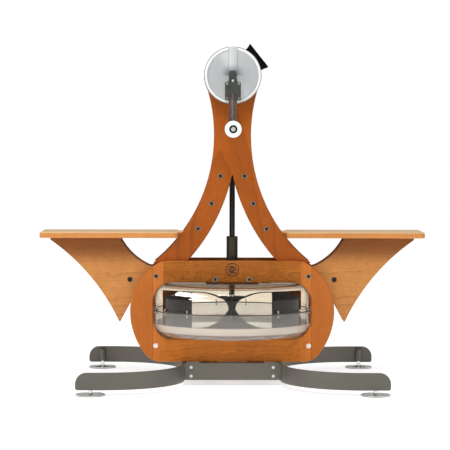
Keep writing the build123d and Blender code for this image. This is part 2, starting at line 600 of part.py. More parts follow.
def make_seats():
    board = block((SEAT_NEAR, SEAT_FAR), (-SEAT_HALF_W, SEAT_HALF_W), (SEAT_LOW, SEAT_LOW + SEAT_T))
    board = fillet(board.edges().filter_by(Axis.Z), 14.0)
    board += block((150, SEAT_NEAR + 20), (-50, 50), (SEAT_LOW, SEAT_LOW + SEAT_T))
    board = fillet(board.faces().sort_by(Axis.Z)[-1].edges(), 5.0)
    board = fillet(board.faces().sort_by(Axis.Z)[0].edges(), 3.0)

    cheek = slab(cheek_outline(), CHEEK_IN, CHEEK_IN + CHEEK_T)
    cheek = fillet(cheek.faces().sort_by(Axis.Y)[-1].edges(), 1.5)
    x, z = SEAT_BOLT
    outer = CHEEK_IN + CHEEK_T
    head = rod_y(x, z, 8.5, outer, outer + 1.2) + rod_y(x, z, 5.6, outer, outer + 1.9)
    head -= slab(Pos(x, z) * RegularPolygon(2.6, 6), outer + 0.6, outer + 3)
    tie = [rod_y(x, z, 8.0, -CHEEK_IN, CHEEK_IN)] + front_rear(head)

    rod_x, rod_z_at = RODS[-1]
    rest = rod_z_at + ROD_R + 0.2
    under = SEAT_LOW - 4
    bracket = rect((138, 190), (under, SEAT_LOW)) + rect((138, 150), (under, rest + 10))
    bracket += rect((95, 150), (rest, rest + 10)) + rect((95, rod_x - 15.5), (rod_z_at - 8, rest + 10))
    hook = slab(bracket, -40, 40)
    for side, name in ((1, "right"), (-1, "left")):
        def placed(pieces):
            return pieces if side > 0 else [mirror(p, Plane.YZ) for p in pieces]
        save(f"{name}_seat_board", *placed([board]))
        save(f"{name}_seat_cheeks", *placed(front_rear(cheek)))
        save(f"{name}_seat_tie", *placed(tie))
        save(f"{name}_seat_hook", *placed([hook]))


os.makedirs("parts", exist_ok=True)
make_frame()
make_wishbone()
make_body_fasteners()
make_tank()
make_tank_supports()
make_base()
make_feet()
make_rotor()
make_gearbox()
make_drum()
make_crank()
make_console()
make_seats()
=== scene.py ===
"""Looks for the hand-crank water trainer: materials on every CAD node, and the small pieces CAD leaves out.

Everything is in metres in the row frame: X runs from seat to seat, -Y is the front, Z is up and the floor
is Z = 0.
"""

import bmesh
import bpy
from math import atan2, cos, pi, radians, sin
from mathutils import Matrix, Vector


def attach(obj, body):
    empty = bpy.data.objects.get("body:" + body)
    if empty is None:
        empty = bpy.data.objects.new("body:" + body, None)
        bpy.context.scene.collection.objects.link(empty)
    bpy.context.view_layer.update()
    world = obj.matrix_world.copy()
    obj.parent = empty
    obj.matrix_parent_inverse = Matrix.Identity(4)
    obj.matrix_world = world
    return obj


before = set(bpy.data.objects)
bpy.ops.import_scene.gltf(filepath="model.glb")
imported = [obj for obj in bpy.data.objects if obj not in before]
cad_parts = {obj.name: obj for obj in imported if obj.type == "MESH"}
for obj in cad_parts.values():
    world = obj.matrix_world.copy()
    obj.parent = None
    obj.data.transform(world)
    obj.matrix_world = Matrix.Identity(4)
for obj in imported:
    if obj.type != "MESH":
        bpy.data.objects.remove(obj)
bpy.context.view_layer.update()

DRUM_Z = 1.048                 # height of the crank axis
RAIL_FACE = 0.095              # |y| of the frame's outer faces
ARM_FACE = 0.1517              # |y| of the crank arms' outer faces
GRIP_Z = 0.867                 # height of the handle axis at rest
GRIP_END = 0.290               # |y| of the grips' outer ends
CONSOLE_TILT = radians(38.5)   # how far the console's face is turned up from facing +X
CONSOLE_FACE = 0.1133          # from the crank axis to the console's face
JOINT_X = 0.270                # |x| of the glue line in the frame's side pieces
PIN_LOW = 1.020                # height between the crank's clamp bolts and its locking pin
TIP_FACE = 0.270               # |y| past which a crank arm's spindle is its bolt head
STRIP_EDGE = 0.0145            # |x| of the edges of the raised strip on the drum's end faces
RIM_WHITE = 0.0938             # radius of the white part of the drum's rim, beyond which it is painted grey as shade
BAND_LOW, BAND_TOP = 0.180, 0.2045     # heights of the band of painted light round the tank's lower shell
SHADE_LOW, SHADE_TOP = 0.385, 0.475    # heights between which a seat's cheek deepens to the board's shade
MARK_HEIGHT = 0.00012          # how far paint and burnt marks stand out

ROUNDEL_Z = 0.390              # the plain mark on the top rails: its centre,
ROUNDEL_RADIUS = 0.0215        # its ring's middle line
ROUNDEL_RING = 0.0030          # and its ring's width
WAVE_WIDTH = 0.0034            # width of the waves in it,
WAVE_GAP = 0.0080              # how far apart they lie
WAVE_SWING = 0.0019            # and how far they swing up and down
SCALE_START = 0.034            # the arm's scale: its first line above the handle axis
SCALE_STEP = 0.0122            # and the step between lines
SCALE_FIGURES = 9


def colour(red, green, blue, alpha=1.0):
    """Display values from 0 to 255 as the linear values that shaders use."""

    def linear(value):
        value /= 255
        return value / 12.92 if value <= 0.04045 else ((value + 0.055) / 1.055) ** 2.4

    return linear(red), linear(green), linear(blue), alpha


# ---- shaders ----
class Shader:
    """A material with one Principled surface, and short calls for the nodes that feed it."""

    def __init__(self, name, **settings):
        self.material = bpy.data.materials.new(name)
        self.material.use_nodes = True
        self.tree = self.material.node_tree
        self.tree.nodes.clear()
        self.output = self.node("OutputMaterial")
        self.surface = self.node("BsdfPrincipled")
        self.put(self.output.inputs["Surface"], self.surface.outputs[0])
        self.point = self.node("TexCoord").outputs["Object"]
        for socket, value in settings.items():
            self.set(socket.replace("_", " "), value)

    def node(self, kind, **settings):
        made = self.tree.nodes.new("ShaderNode" + kind)
        for key, value in settings.items():
            setattr(made, key, value)
        return made

    def put(self, socket, value):
        if isinstance(value, bpy.types.NodeSocket):
            self.tree.links.new(value, socket)
        else:
            socket.default_value = value

    def set(self, socket, value):
        self.put(self.surface.inputs[socket], value)

    def math(self, operation, first, second=0.0, third=0.0, clamp=False):
        made = self.node("Math", operation=operation, use_clamp=clamp)
        for socket, value in zip(made.inputs, (first, second, third)):
            self.put(socket, value)
        return made.outputs[0]

    def vector(self, operation, first, second):
        made = self.node("VectorMath", operation=operation)
        self.put(made.inputs[0], first)
        self.put(made.inputs[1], second)
        return made.outputs["Value" if operation == "LENGTH" else "Vector"]

    def split(self, vector):
        made = self.node("SeparateXYZ")
        self.put(made.inputs[0], vector)
        return made.outputs

    def turned(self, vector, rotation):
        made = self.node("Mapping")
        self.put(made.inputs["Vector"], vector)
        self.put(made.inputs["Rotation"], rotation)
        return made.outputs[0]

    def noise(self, vector, scale, detail=2.0, roughness=0.5, distortion=0.0, output="Fac"):
        """Noise with about so many features per metre, scale a number or one for each axis."""
        if isinstance(scale, tuple):
            vector, scale = self.vector("MULTIPLY", vector, scale), 1.0
        made = self.node("TexNoise")
        for key, value in (("Vector", vector), ("Scale", scale), ("Detail", detail),
                           ("Roughness", roughness), ("Distortion", distortion)):
            self.put(made.inputs[key], value)
        return made.outputs[output]

    def span(self, value, low, high, to_low=0.0, to_high=1.0):
        """value from low..high mapped smoothly to to_low..to_high."""
        made = self.node("MapRange", interpolation_type="SMOOTHSTEP")
        for key, number in (("Value", value), ("From Min", low), ("From Max", high),
                            ("To Min", to_low), ("To Max", to_high)):
            self.put(made.inputs[key], number)
        return made.outputs[0]

    def mix(self, factor, first, second, blend="MIX"):
        made = self.node("Mix", data_type="RGBA", blend_type=blend)
        for index, value in ((0, factor), (6, first), (7, second)):
            self.put(made.inputs[index], value)
        return made.outputs[2]

    def ramp(self, value, stops):
        made = self.node("ValToRGB")
        self.put(made.inputs[0], value)
        line = made.color_ramp.elements
        while len(line) < len(stops):
            line.new(1.0)
        for element, (place, shade) in zip(line, stops):
            element.position = place
            element.color = (shade, shade, shade, 1.0)
        return made.outputs[0]

    def tone(self, shade, value, amount):
        """shade made lighter and darker by value, which is about 0.5 on average."""
        gain = self.math("MULTIPLY_ADD", value, 2 * amount, 1 - amount)
        made = self.node("CombineColor")
        for socket in made.inputs:
            self.put(socket, gain)
        return self.mix(1.0, shade, made.outputs[0], "MULTIPLY")

    def bump(self, height, depth, strength):
        made = self.node("Bump")
        self.put(made.inputs["Height"], height)
        self.put(made.inputs["Distance"], depth)
        self.put(made.inputs["Strength"], strength)
        self.set("Normal", made.outputs[0])

    def lets_lamps_through(self, shade):
        """Shadow rays pass straight through, tinted by shade, so what is behind the glass is lit."""
        light = self.node("LightPath").outputs["Is Shadow Ray"]
        clear = self.node("BsdfTransparent")
        self.put(clear.inputs[0], shade)
        choice = self.node("MixShader")
        for socket, value in zip(choice.inputs, (light, self.surface.outputs[0], clear.outputs[0])):
            self.put(socket, value)
        self.put(self.output.inputs["Surface"], choice.outputs[0])


ALONG_Z, ALONG_X = (0, 0, 0), (0, -pi / 2, 0)


def cherry(name, light, dark, grain=ALONG_Z, lean=0.05, pith=(0.03, 0.12), ring=0.0075, warp=0.03,
           contrast=0.55, figure=0.10, swirl=1.2, glue_line=False, painted_top_light=None, painted_board_shadow=None):
    """Oiled cherry: growth rings round a slightly leaning pith, fibres, pores, gum streaks and soft mottling.

    swirl is how many rings wide the swirled figure is, painted_top_light is the paler colour painted on
    upward faces as light falling on them, and painted_board_shadow is the colour of a shadow of the seat
    board painted just below it, which the piece deepens to."""
    s = Shader(name, Coat_Weight=0.03, Coat_Roughness=0.25, Specular_IOR_Level=0.16)
    p = s.turned(s.point, grain)
    shift = s.vector("SUBTRACT", s.noise(p, (2.2, 2.2, 1.3), 2.0, output="Color"), (0.5, 0.5, 0.5))
    waved = s.vector("ADD", p, s.vector("MULTIPLY", shift, (warp, warp, 0.0)))
    x, y, z = s.split(waved)[:3]
    away_x = s.math("MULTIPLY_ADD", z, lean * 0.4, s.math("ADD", x, pith[0]))
    away_y = s.math("MULTIPLY_ADD", z, lean, s.math("ADD", y, pith[1]))
    both = s.node("CombineXYZ")
    s.put(both.inputs[0], away_x)
    s.put(both.inputs[1], away_y)
    radius = s.vector("LENGTH", both.outputs[0], (0, 0, 0))
    count = s.math("DIVIDE", radius, ring)
    count = s.math("ADD", count, s.math("MULTIPLY", s.noise(p, (17, 17, 9), 1.5, 0.5, 0.9), swirl))
    part = s.math("FRACT", count)
    year = s.node("TexWhiteNoise", noise_dimensions="1D")
    s.put(year.inputs["W"], s.math("FLOOR", count))
    late = s.ramp(part, [(0.0, 0.15), (0.40, 0.28), (0.78, 0.80), (0.92, 1.0), (1.0, 0.15)])
    strength = s.math("POWER", year.outputs["Value"], 1.8)
    late = s.math("MULTIPLY", late, s.math("MULTIPLY_ADD", strength, 0.85, 0.15))
    fibre = s.noise(p, (330, 330, 9), 4.0, 0.62)
    pores = s.span(s.noise(p, (1500, 1500, 70), 1.0), 0.60, 0.74)
    gum = s.span(s.noise(p, (46, 46, 5.0), 2.0, 0.5, 0.4), 0.70, 0.80)
    depth = s.math("MULTIPLY", late, contrast)
    depth = s.math("ADD", depth, s.math("MULTIPLY", s.math("SUBTRACT", fibre, 0.5), 0.55), clamp=True)
    shade = s.mix(depth, light, dark)
    shade = s.tone(shade, s.noise(p, (7, 7, 3.2), 2.0), 0.17)
    shade = s.tone(shade, s.noise(p, (22, 22, 34), 2.0, 0.5, 0.6), figure)
    deep = tuple(channel * 0.30 for channel in dark[:3]) + (1.0,)
    shade = s.mix(s.math("MULTIPLY", gum, 0.55), shade, deep)
    shade = s.mix(s.math("MULTIPLY", pores, 0.30), shade, deep)
    if glue_line:
        side = s.math("ABSOLUTE", s.split(s.point)[0])
        outer = s.math("GREATER_THAN", side, JOINT_X)
        near = s.span(s.math("ABSOLUTE", s.math("SUBTRACT", side, JOINT_X)), 0.0003, 0.0016, 1.0, 0.0)
        shade = s.mix(s.math("MULTIPLY", outer, 0.30), shade, dark)
        shade = s.mix(s.math("MULTIPLY", near, 0.45), shade, deep)
    # Painted shadow: the piece darkens towards a shadow colour just below the seat board that hangs over it.
    if painted_board_shadow:
        board_shadow_mask = s.span(s.split(s.point)[2], SHADE_LOW, SHADE_TOP, 0.0, 0.70)
        shade = s.mix(board_shadow_mask, shade, s.tone(painted_board_shadow, fibre, 0.15))
    # Painted light: upward faces are painted paler, as light falling on them from above.
    if painted_top_light:
        up = s.split(s.node("NewGeometry").outputs["Normal"])[2]
        shade = s.mix(s.span(up, 0.35, 0.80), shade, s.tone(painted_top_light, fibre, 0.10))
    s.set("Base Color", shade)
    s.set("Roughness", s.math("MULTIPLY_ADD", fibre, 0.22, 0.34))
    height = s.math("ADD", s.math("MULTIPLY", fibre, 0.6), s.math("MULTIPLY", pores, -0.4))
    s.bump(height, 0.00025, 0.5)
    return s.material


def plywood(name, face, edge):
    """Birch deck: faces with faint straight grain, and plies 1.5 mm thick on the edges."""
    s = Shader(name, Roughness=0.55)
    fibre = s.noise(s.point, (12, 260, 260), 3.0)
    shade = s.tone(s.mix(s.noise(s.point, 9.0), face, edge), fibre, 0.16)
    height = s.split(s.point)[2]
    ply = s.math("PINGPONG", height, 0.0015)
    shade = s.mix(s.span(ply, 0.0006, 0.0009, 0.0, 0.35), shade, edge)
    s.set("Base Color", shade)
    s.bump(fibre, 0.0002, 0.4)
    return s.material


def metal(name, shade, roughness=0.35, streaks=(40, 40, 700), uneven=0.10):
    """Brushed or machined metal: streaks finest across the brushing, and faint handling marks."""
    s = Shader(name, Metallic=1.0)
    streak = s.noise(s.point, streaks, 4.0, 0.6)
    smear = s.noise(s.point, 14.0, 3.0, 0.6)
    s.set("Base Color", s.tone(s.tone(shade, streak, uneven), smear, uneven * 0.6))
    rough = s.math("MULTIPLY_ADD", streak, 0.22, roughness - 0.11)
    s.set("Roughness", s.math("MULTIPLY_ADD", smear, 0.12, s.math("SUBTRACT", rough, 0.06)))
    s.bump(streak, 0.00004, 0.6)
    return s.material


def painted(name, shade, roughness=0.42, metallic=0.55):
    """Powder-coated flat bar: metallic flake, orange-peel skin and slow changes of tone."""
    s = Shader(name, Metallic=metallic, Coat_Weight=0.15, Coat_Roughness=0.35)
    flake = s.noise(s.point, 1700.0, 2.0, 0.7)
    cloud = s.noise(s.point, (5, 5, 9), 3.0, 0.55)
    peel = s.noise(s.point, 420.0, 2.0)
    s.set("Base Color", s.tone(s.tone(shade, flake, 0.22), cloud, 0.16))
    s.set("Roughness", s.math("MULTIPLY_ADD", cloud, 0.16, roughness - 0.08))
    s.bump(peel, 0.00008, 0.5)
    return s.material


def moulded(name, shade, roughness=0.35, grain=900.0, uneven=0.06, depth=0.00005, coat=0.0, gloss=0.5):
    """Plastic or rubber: a fine moulded texture with faint dust and wear."""
    s = Shader(name, Coat_Weight=coat, Coat_Roughness=0.12, Specular_IOR_Level=gloss)
    fine = s.noise(s.point, grain, 2.0, 0.6)
    dust = s.noise(s.point, 24.0, 4.0, 0.6)
    s.set("Base Color", s.tone(s.tone(shade, dust, uneven), fine, uneven))
    s.set("Roughness", s.math("MULTIPLY_ADD", dust, 0.14, roughness - 0.07))
    s.bump(fine, depth, 0.6)
    return s.material


def clear_acrylic(name, shade, shadow, clear, painted_light_band=0.0):
    """Polished smoky acrylic: bent light in the walls, lit contents, and the faint haze that water leaves.

    clear is how much light the walls pass, and painted_light_band is how much less the band passes: a cream
    band of painted light round the lower shell's rounding, in place of floor light bent through it."""
    s = Shader(name, IOR=1.29, Specular_IOR_Level=0.5)
    haze = s.noise(s.point, 16.0, 4.0, 0.6)
    height = s.split(s.point)[2]
    # The band is painted light: less clear and cream, it stands in for floor light bent through the lower
    # rounding.
    band = s.math("MULTIPLY", s.span(height, BAND_LOW - 0.002, BAND_LOW + 0.002),
                  s.span(height, BAND_TOP - 0.0025, BAND_TOP + 0.0025, 1.0, 0.0))
    s.set("Transmission Weight", s.math("SUBTRACT", clear, s.math("MULTIPLY", band, painted_light_band)))
    tint = s.mix(s.span(haze, 0.35, 0.75), shade, tuple(c * 0.93 for c in shade[:3]) + (1.0,))
    s.set("Base Color", s.mix(band, tint, colour(250, 238, 222)))
    s.set("Roughness", s.span(s.noise(s.point, 60.0, 4.0, 0.7), 0.50, 0.85, 0.0, 0.06))
    s.lets_lamps_through(shadow)
    return s.material


def spun_disc(name, shade):
    """Aluminium turned on a lathe: rings about the crank axis, which spread its gloss out from the centre,
    and painted shade along the raised strip's edges and above the lug.
    """
    s = Shader(name, Metallic=0.8, Anisotropic=0.8)
    from_axis = s.vector("SUBTRACT", s.point, (0, 0, DRUM_Z))
    x, _, z = s.split(from_axis)[:3]
    flat = s.node("CombineXYZ")
    s.put(flat.inputs[0], x)
    s.put(flat.inputs[2], z)
    radius = s.vector("LENGTH", flat.outputs[0], (0, 0, 0))
    s.set("Tangent", flat.outputs[0])
    groove = s.node("TexNoise", noise_dimensions="1D")
    s.put(groove.inputs["W"], radius)
    s.put(groove.inputs["Scale"], 900.0)
    s.put(groove.inputs["Detail"], 3.0)
    smear = s.noise(s.point, 18.0, 3.0)
    # Painted shade: above the axis the disc darkens towards grey-blue along the raised strip's edges and
    # round the lug.
    above = s.math("GREATER_THAN", z, 0.0)
    off_edge = s.math("ABSOLUTE", s.math("SUBTRACT", s.math("ABSOLUTE", x), STRIP_EDGE))
    edge = s.span(off_edge, 0.0004, 0.0016, 0.45, 0.0)
    lug_shade = s.span(radius, 0.014, 0.044, 0.55, 0.0)
    dim = s.math("MULTIPLY", above, s.math("MAXIMUM", edge, lug_shade))
    spun = s.tone(s.tone(shade, groove.outputs["Fac"], 0.05), smear, 0.04)
    s.set("Base Color", s.mix(dim, spun, colour(120, 126, 132)))
    s.set("Roughness", s.math("MULTIPLY_ADD", groove.outputs["Fac"], 0.14, 0.26))
    s.bump(groove.outputs["Fac"], 0.00003, 0.5)
    return s.material


def two_metals(name, near, far, axis, limit):
    """Dark brushed metal up to limit along an axis (0, 1 or 2), and bright zinc beyond it both ways."""
    s = Shader(name, Metallic=0.9)
    streak = s.noise(s.point, (800, 800, 24), 4.0, 0.6)
    outer = s.math("GREATER_THAN", s.math("ABSOLUTE", s.split(s.point)[axis]), limit)
    s.set("Base Color", s.mix(outer, s.tone(near, streak, 0.20), s.tone(far, streak, 0.05)))
    s.set("Roughness", s.math("MULTIPLY_ADD", streak, 0.22, 0.25))
    s.bump(streak, 0.00004, 0.6)
    return s.material


def rim_plastic(name, face, side):
    """Glossy white rim of the drum, painted grey on its outer few millimetres and on its side as painted
    shade of that edge-on side.
    """
    s = Shader(name, Roughness=0.24, Coat_Weight=0.35, Coat_Roughness=0.12)
    x, _, z = s.split(s.vector("SUBTRACT", s.point, (0, 0, DRUM_Z)))[:3]
    radius = s.math("SQRT", s.math("ADD", s.math("MULTIPLY", x, x), s.math("MULTIPLY", z, z)))
    dust = s.noise(s.point, 24.0, 4.0, 0.6)
    # Painted shade: grey beyond RIM_WHITE stands in for the rim's side seen edge-on in shade.
    shade = s.mix(s.span(radius, RIM_WHITE, RIM_WHITE + 0.0012), face, side)
    s.set("Base Color", s.tone(shade, dust, 0.05))
    s.bump(s.noise(s.point, 700.0), 0.00004, 0.5)
    return s.material


def chrome_foot(name, shade, rubber):
    """Polished steel levelling foot whose lowest 1.8 mm is a rubber sole."""
    s = Shader(name)
    height = s.split(s.point)[2]
    steel = s.span(height, 0.0016, 0.0020)
    smear = s.noise(s.point, 30.0, 4.0, 0.6)
    s.set("Base Color", s.mix(steel, rubber, s.tone(shade, smear, 0.06)))
    s.set("Metallic", steel)
    s.set("Roughness", s.math("ADD", s.math("MULTIPLY_ADD", smear, 0.12, 0.06),
                              s.math("MULTIPLY", s.math("SUBTRACT", 1.0, steel), 0.6)))
    return s.material


STILE_LIGHT, STILE_DARK = colour(206, 118, 48), colour(150, 74, 22)
TOP_LIGHT, TOP_DARK = colour(186, 108, 34), colour(104, 50, 9)
LOW_LIGHT, LOW_DARK = colour(206, 120, 42), colour(136, 66, 16)
POST_LIGHT, POST_DARK = colour(170, 86, 20), colour(112, 48, 7)
SEAT_LIGHT, SEAT_DARK = colour(202, 138, 76), colour(148, 88, 40)
BOARD_LIGHT, BOARD_DARK = colour(214, 144, 80), colour(156, 90, 40)

LOOKS = {
    "bright_steel": metal("brushed_bright_steel", colour(206, 206, 203), 0.28),
    "black_screw": metal("black_oxide", colour(52, 52, 51), 0.38, (300, 300, 300)),
    "cup_steel": metal("cup_steel", colour(150, 150, 146), 0.34, (500, 500, 500)),
    "cap_cream": moulded("cream_cap", colour(240, 236, 224), 0.22, coat=0.4),
    "seal_rubber": moulded("seal_rubber", colour(92, 86, 78), 0.6, 600.0, 0.12),
    "bearing_bronze": metal("machined_bronze", colour(186, 148, 92), 0.32, (500, 500, 500)),
    "paddle_dark": moulded("paddle_plastic", colour(20, 16, 14), 0.6, 500.0, 0.14, gloss=0.10),
    "beam_brown": painted("brown_powder_coat", colour(120, 66, 30), 0.5, 0.0),
    "casing_alloy": metal("cast_alloy", colour(196, 198, 200), 0.42, (350, 350, 350)),
    "deck_wood": plywood("birch_deck", colour(206, 172, 128), colour(148, 108, 66)),
    # Painted shade: the legs' coat is a darker copy of the bars' coat given for base_bars below.
    "base_steel": painted("base_powder_coat_shaded", colour(104, 101, 93)),
    "bracket_steel": metal("bracket_steel", colour(168, 168, 165), 0.36, (600, 40, 600)),
    "shaft_steel": metal("dark_shaft", colour(58, 54, 50), 0.36, (700, 700, 30)),
    "gear_steel": metal("gear_steel", colour(170, 170, 172), 0.3, (500, 500, 500)),
    "drum_rim": rim_plastic("white_rim", colour(238, 238, 236), colour(128, 130, 132)),
    "drum_disc": spun_disc("spun_disc", colour(214, 217, 217)),
    "crank_steel": metal("dark_crank_steel", colour(86, 88, 84), 0.42, (60, 700, 60), 0.16),
    "arm_steel": two_metals("arm_steel", colour(100, 93, 89), colour(214, 216, 212), 1, TIP_FACE),
    "grip_white": moulded("white_grip", colour(246, 245, 241), 0.3, 700.0, 0.03, coat=0.3),
    "console_black": moulded("console_shell", colour(4, 4, 5), 0.75, 1100.0, 0.18, 0.0001, gloss=0.12),
    "console_glass": moulded("console_window", colour(44, 50, 50), 0.08, 300.0, 0.10, 0.00001, coat=0.8),
    "button_rubber": moulded("button_rubber", colour(120, 121, 120), 0.6, 800.0, 0.10),
    "foot_chrome": chrome_foot("chrome_foot", colour(226, 225, 220), colour(30, 29, 28)),
}
STILES = cherry("cherry_stile", STILE_LIGHT, STILE_DARK, ring=0.013, contrast=0.30, pith=(0.4, 0.16),
                glue_line=True)
TOP_RAILS = cherry("cherry_top_rail", TOP_LIGHT, TOP_DARK, ALONG_X, lean=0.10, pith=(0.02, 0.05), ring=0.013,
                   warp=0.10, contrast=1.00, figure=0.26, swirl=9.0)
LOW_RAILS = cherry("cherry_low_rail", LOW_LIGHT, LOW_DARK, ALONG_X, lean=0.10, pith=(0.02, 0.05), ring=0.013,
                   warp=0.08, contrast=0.60, figure=0.18, swirl=4.0)
POSTS = cherry("cherry_post", POST_LIGHT, POST_DARK, ring=0.013, contrast=0.42, pith=(0.02, 0.2), lean=0.09)
# The boards' upward faces are painted paler, as painted light.
BOARDS = cherry("cherry_board", BOARD_LIGHT, BOARD_DARK, ALONG_X, lean=0.10, pith=(0.05, 0.09), ring=0.009,
                warp=0.05, contrast=0.50, painted_top_light=colour(246, 208, 158))
# The cheeks darken to a painted shadow of the seat board just below it.
CHEEKS = cherry("cherry_cheek", SEAT_LIGHT, SEAT_DARK, ALONG_X, lean=0.12, pith=(0.05, 0.09), ring=0.014,
                warp=0.10, contrast=0.55, figure=0.14, swirl=4.0, painted_board_shadow=colour(104, 48, 12))
ACRYLIC_SHADOW = colour(240, 236, 228)
BY_NODE = {
    "tank_upper_shell": clear_acrylic("acrylic_upper", colour(247, 238, 224), ACRYLIC_SHADOW, clear=1.0),
    "tank_lower_shell": clear_acrylic("acrylic_lower", colour(247, 243, 235), ACRYLIC_SHADOW, clear=0.84,
                                      painted_light_band=0.42),
    "shaft_coupling": metal("coupling_steel", colour(70, 66, 58), 0.36, (700, 700, 30)),
    "crank_axle": LOOKS["crank_steel"],
    "base_bars": painted("bar_powder_coat", colour(110, 107, 98)),
    "clamp_bolts": two_metals("clamp_bolts", colour(134, 136, 132), colour(236, 236, 232), 2, PIN_LOW),
    "frame_left_stiles": STILES, "frame_right_stiles": STILES, "frame_top_rails": TOP_RAILS,
    "frame_bottom_rails": LOW_RAILS, "wishbone_front": POSTS, "wishbone_rear": POSTS,
    "left_seat_board": BOARDS, "right_seat_board": BOARDS,
    "left_seat_cheeks": CHEEKS, "right_seat_cheeks": CHEEKS,
}
for name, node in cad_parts.items():
    slots = node.data.materials
    slot = slots[0].name
    slots[0] = BY_NODE.get(name) or LOOKS[slot]


# ---- pieces ----
def piece(name, mesh, look, body, smooth=False):
    """A mesh as an object of the model: its look and the body it rides on."""
    made = bpy.data.objects.new(name, mesh)
    bpy.context.scene.collection.objects.link(made)
    mesh.materials.append(look)
    for face in mesh.polygons:
        face.use_smooth = smooth
    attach(made, body)
    return made


def lathe(name, profile, place, steps=96):
    """A ring turned from a closed profile of (radius, height) points, its axis laid along place's Z."""
    mesh, shape = bpy.data.meshes.new(name), bmesh.new()
    rings = [[shape.verts.new(place @ Vector((r * cos(2 * pi * i / steps), r * sin(2 * pi * i / steps), h)))
              for i in range(steps)] for r, h in profile]
    for low, high in zip(rings, rings[1:] + rings[:1]):
        for i in range(steps):
            j = (i + 1) % steps
            shape.faces.new((low[i], low[j], high[j], high[i]))
    bmesh.ops.recalc_face_normals(shape, faces=shape.faces)
    shape.to_mesh(mesh)
    shape.free()
    return mesh


def arc(centre_r, centre_h, radius, start, end, steps):
    """Points of a lathe profile on an arc, angles in degrees from outwards towards up."""
    turns = [radians(start + (end - start) * i / steps) for i in range(steps + 1)]
    return [(centre_r + radius * cos(t), centre_h + radius * sin(t)) for t in turns]


def raised(name, outlines, place, height):
    """Flat outlines in place's XY plane, raised along its Z by height."""
    mesh, shape = bpy.data.meshes.new(name), bmesh.new()
    for outline in outlines:
        low = [shape.verts.new(place @ Vector((x, y, 0))) for x, y in outline]
        high = [shape.verts.new(place @ Vector((x, y, height))) for x, y in outline]
        shape.faces.new(high)
        shape.faces.new(low[::-1])
        for i in range(len(low)):
            j = (i + 1) % len(low)
            shape.faces.new((low[i], low[j], high[j], high[i]))
    bmesh.ops.recalc_face_normals(shape, faces=shape.faces)
    shape.to_mesh(mesh)
    shape.free()
    return mesh


def ribbon(points, width):
    """Quads of that width that follow the points, as one closed outline."""
    left, right = [], []
    for i, (x, y) in enumerate(points):
        x0, y0 = points[max(i - 1, 0)]
        x1, y1 = points[min(i + 1, len(points) - 1)]
        angle = atan2(y1 - y0, x1 - x0) + pi / 2
        dx, dy = width / 2 * cos(angle), width / 2 * sin(angle)
        left.append((x + dx, y + dy))
        right.append((x - dx, y - dy))
    return left + right[::-1]


def digit_outlines(text, place_x, place_y, height):
    """Seven-segment figures, upright, their lower left corner at place_x, place_y."""
    bars = {"0": "abcdef", "1": "bc", "2": "abged", "3": "abgcd", "4": "fgbc", "5": "afgcd",
            "6": "afgedc", "7": "abc", "8": "abcdefg", "9": "gfabcd"}
    half, width, thick = height / 2, height * 0.5, height * 0.16
    ends = {"a": ((0, height), (width, height)), "b": ((width, half), (width, height)),
            "c": ((width, 0), (width, half)), "d": ((0, 0), (width, 0)), "e": ((0, 0), (0, half)),
            "f": ((0, half), (0, height)), "g": ((0, half), (width, half))}
    outlines = []
    for figure in text:
        if figure == ":":
            for level in (0.3, 0.7):
                dot = [(-thick, -thick), (thick, -thick), (thick, thick), (-thick, thick)]
                dot_x, dot_y = place_x + 0.3 * width, place_y + level * height
                outlines.append([(dot_x + x / 2, dot_y + y / 2) for x, y in dot])
            place_x += width * 0.8
            continue
        for bar in bars[figure]:
            (x0, y0), (x1, y1) = ends[bar]
            along = Vector((x1 - x0, y1 - y0)).normalized() * thick * 0.6
            start = (place_x + x0 + along.x, place_y + y0 + along.y)
            end = (place_x + x1 - along.x, place_y + y1 - along.y)
            outlines.append(ribbon([start, end], thick))
        place_x += width * 1.6
    return outlines


def facing(side, height_z, face):
    """A plane on the front (side -1) or rear (side +1), seen from outside: X right, Y up and Z outwards."""
    turn = Matrix(((-side, 0, 0), (0, 0, side), (0, 1, 0))).to_4x4()
    return Matrix.Translation((0, side * face, height_z)) @ turn


BURNT_BROWN = moulded("burnt_mark", colour(44, 18, 8), 0.6, 700.0, 0.2)
SCALE_PAINT = moulded("scale_paint", colour(196, 142, 116), 0.5, 700.0, 0.1)
RING_BLACK = moulded("ring_black", colour(6, 6, 6), 0.6, 600.0, 0.2, gloss=0.15)
DISPLAY_INK = moulded("display_ink", colour(150, 166, 150), 0.4, 900.0, 0.05)


def rail_roundel(side, word):
    """A plain ring round three waves, burnt into the middle of a top rail."""
    name, steps = f"rail_roundel_{word}", 64
    quarter = steps // 4
    rim = [(ROUNDEL_RADIUS * cos(2 * pi * i / steps), ROUNDEL_RADIUS * sin(2 * pi * i / steps))
           for i in range(steps + 1)]
    shapes = [ribbon(rim[i:i + quarter + 1], ROUNDEL_RING) for i in range(0, steps, quarter)]
    for level, half in ((-WAVE_GAP, 0.0115), (0.0, 0.0150), (WAVE_GAP, 0.0115)):
        wave = [(half * (k / 12 - 1), level + WAVE_SWING * sin(k * pi / 4)) for k in range(25)]
        shapes.append(ribbon(wave, WAVE_WIDTH))
    mesh = raised(name, shapes, facing(side, ROUNDEL_Z, RAIL_FACE), MARK_HEIGHT)
    piece(name, mesh, BURNT_BROWN, "frame")


def arm_scale(side, word):
    """The length scale along a crank arm: a short line and a figure at each step."""
    name, figure = f"arm_scale_{word}", 0.0092
    shapes = []
    for i in range(SCALE_FIGURES):
        level = SCALE_START + SCALE_STEP * i
        shapes.append(ribbon([(0.0085, level), (0.0115, level)], 0.0009))
        shapes += digit_outlines(str(i + 1), -0.0045, level - 0.0045, figure)
    mesh = raised(name, shapes, facing(side, GRIP_Z, ARM_FACE), MARK_HEIGHT)
    piece(name, mesh, SCALE_PAINT, f"{word}_arm")


